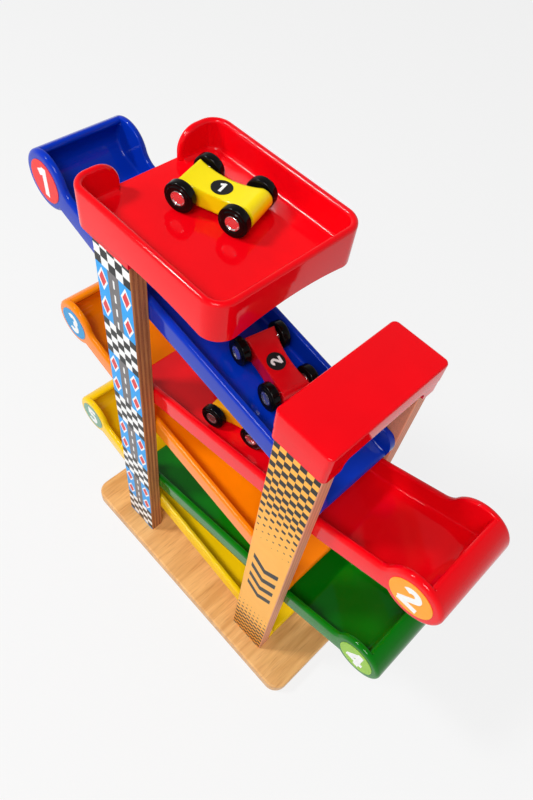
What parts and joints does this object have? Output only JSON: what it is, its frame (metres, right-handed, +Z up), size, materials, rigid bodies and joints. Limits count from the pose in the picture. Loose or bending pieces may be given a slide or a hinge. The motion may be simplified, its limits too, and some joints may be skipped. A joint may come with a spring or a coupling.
{
  "type": "click clack track toy",
  "caption": "Zigzag of sloping coloured plastic tracks with round catcher cups between printed wooden posts, with a start tray, a bridge cap and small rolling cars",
  "frame": {"origin": "middle of the base's underside, on the table", "axes": "+X along the tracks, from the posts under the start tray to the posts under the bridge cap; +Y across, away from the number badges; +Z up"},
  "size_m": [0.3112, 0.103, 0.3506],
  "materials": {
    "base_wood": "clear satin lacquer over plywood",
    "left_post_wood": "plywood with a printed outer face",
    "right_post_wood": "plywood with a printed outer face",
    "red_plastic": "moulded gloss",
    "blue_plastic": "moulded gloss",
    "orange_plastic": "moulded gloss",
    "green_plastic": "moulded gloss",
    "yellow_plastic": "moulded gloss",
    "badge_red": "printed film",
    "badge_orange": "printed film",
    "badge_sky": "printed film",
    "badge_green": "printed film",
    "badge_teal": "printed film",
    "yellow_paint": "gloss paint",
    "red_paint": "gloss paint",
    "orange_paint": "gloss paint",
    "disc_black": "printed film",
    "steel": "plain",
    "chrome": "bright plating",
    "tyre": "smooth black"
  },
  "bodies": {
    "stand": {"base_plate": "base_wood", "base_screws": "steel", "post_front_left": "left_post_wood", "post_back_left": "left_post_wood", "post_front_right": "right_post_wood", "post_back_right": "right_post_wood", "start_tray": "red_plastic", "bridge_cap": "red_plastic", "track_1": "blue_plastic", "track_2": "red_plastic", "track_3": "orange_plastic", "track_4": "green_plastic", "track_5": "yellow_plastic", "number_badge_1": "badge_red", "number_badge_2": "badge_orange", "number_badge_3": "badge_sky", "number_badge_4": "badge_green", "number_badge_5": "badge_teal"},
    "car_1": {"car_1_body": "yellow_paint", "car_1_number_disc": "disc_black"},
    "car_1_front_wheels": {"car_1_front_axle": "steel", "car_1_front_left_hub": "chrome", "car_1_front_right_hub": "chrome", "car_1_front_left_tyre": "tyre", "car_1_front_right_tyre": "tyre"},
    "car_1_rear_wheels": {"car_1_rear_axle": "steel", "car_1_rear_left_hub": "chrome", "car_1_rear_right_hub": "chrome", "car_1_rear_left_tyre": "tyre", "car_1_rear_right_tyre": "tyre"},
    "car_2": {"car_2_body": "red_paint", "car_2_number_disc": "disc_black"},
    "car_2_front_wheels": {"car_2_front_axle": "steel", "car_2_front_left_hub": "chrome", "car_2_front_right_hub": "chrome", "car_2_front_left_tyre": "tyre", "car_2_front_right_tyre": "tyre"},
    "car_2_rear_wheels": {"car_2_rear_axle": "steel", "car_2_rear_left_hub": "chrome", "car_2_rear_right_hub": "chrome", "car_2_rear_left_tyre": "tyre", "car_2_rear_right_tyre": "tyre"},
    "car_3": {"car_3_body": "orange_paint", "car_3_number_disc": "disc_black"},
    "car_3_front_wheels": {"car_3_front_axle": "steel", "car_3_front_left_hub": "chrome", "car_3_front_right_hub": "chrome", "car_3_front_left_tyre": "tyre", "car_3_front_right_tyre": "tyre"},
    "car_3_rear_wheels": {"car_3_rear_axle": "steel", "car_3_rear_left_hub": "chrome", "car_3_rear_right_hub": "chrome", "car_3_rear_left_tyre": "tyre", "car_3_rear_right_tyre": "tyre"}
  },
  "joints": [
    {"name": "car_1_roll", "type": "slide", "parent": "stand", "child": "car_1", "axis": [0.9563, 0.2924, 0], "range_m": [-0.02, 0.026]},
    {"name": "car_1_front_spin", "type": "hinge", "parent": "car_1", "child": "car_1_front_wheels", "pos_m": [-0.02929, 0.01528, 0.34207], "axis": [-0.2924, 0.9563, 0], "continuous": true},
    {"name": "car_1_rear_spin", "type": "hinge", "parent": "car_1", "child": "car_1_rear_wheels", "pos_m": [-0.05731, 0.00672, 0.34207], "axis": [-0.2924, 0.9563, 0], "continuous": true},
    {"name": "car_2_roll", "type": "slide", "parent": "stand", "child": "car_2", "axis": [0.9781, 0, -0.2079], "range_m": [-0.0766, 0.0519]},
    {"name": "car_2_front_spin", "type": "hinge", "parent": "car_2", "child": "car_2_front_wheels", "pos_m": [0.025, 0.00228, 0.26736], "axis": [0.1699, 0.9848, -0.0361], "continuous": true},
    {"name": "car_2_rear_spin", "type": "hinge", "parent": "car_2", "child": "car_2_rear_wheels", "pos_m": [-0.00323, 0.00736, 0.27336], "axis": [0.1699, 0.9848, -0.0361], "continuous": true},
    {"name": "car_3_roll", "type": "slide", "parent": "stand", "child": "car_3", "axis": [-0.9781, 0, -0.2079], "range_m": [-0.0655, 0.0633]},
    {"name": "car_3_front_spin", "type": "hinge", "parent": "car_3", "child": "car_3_front_wheels", "pos_m": [0.01437, 0.00289, 0.21823], "axis": [-0.153, 0.9877, -0.0325], "continuous": true},
    {"name": "car_3_rear_spin", "type": "hinge", "parent": "car_3", "child": "car_3_rear_wheels", "pos_m": [-0.01394, -0.00169, 0.21221], "axis": [-0.153, 0.9877, -0.0325], "continuous": true}
  ],
  "couplings": [
    {"joint": "car_1_front_spin", "follows": "car_1_roll", "rad_per_m": 126.58},
    {"joint": "car_1_rear_spin", "follows": "car_1_roll", "rad_per_m": 126.58},
    {"joint": "car_2_front_spin", "follows": "car_2_roll", "rad_per_m": 124.66},
    {"joint": "car_2_rear_spin", "follows": "car_2_roll", "rad_per_m": 124.66},
    {"joint": "car_3_front_spin", "follows": "car_3_roll", "rad_per_m": -125.02},
    {"joint": "car_3_rear_spin", "follows": "car_3_roll", "rad_per_m": -125.02}
  ]
}
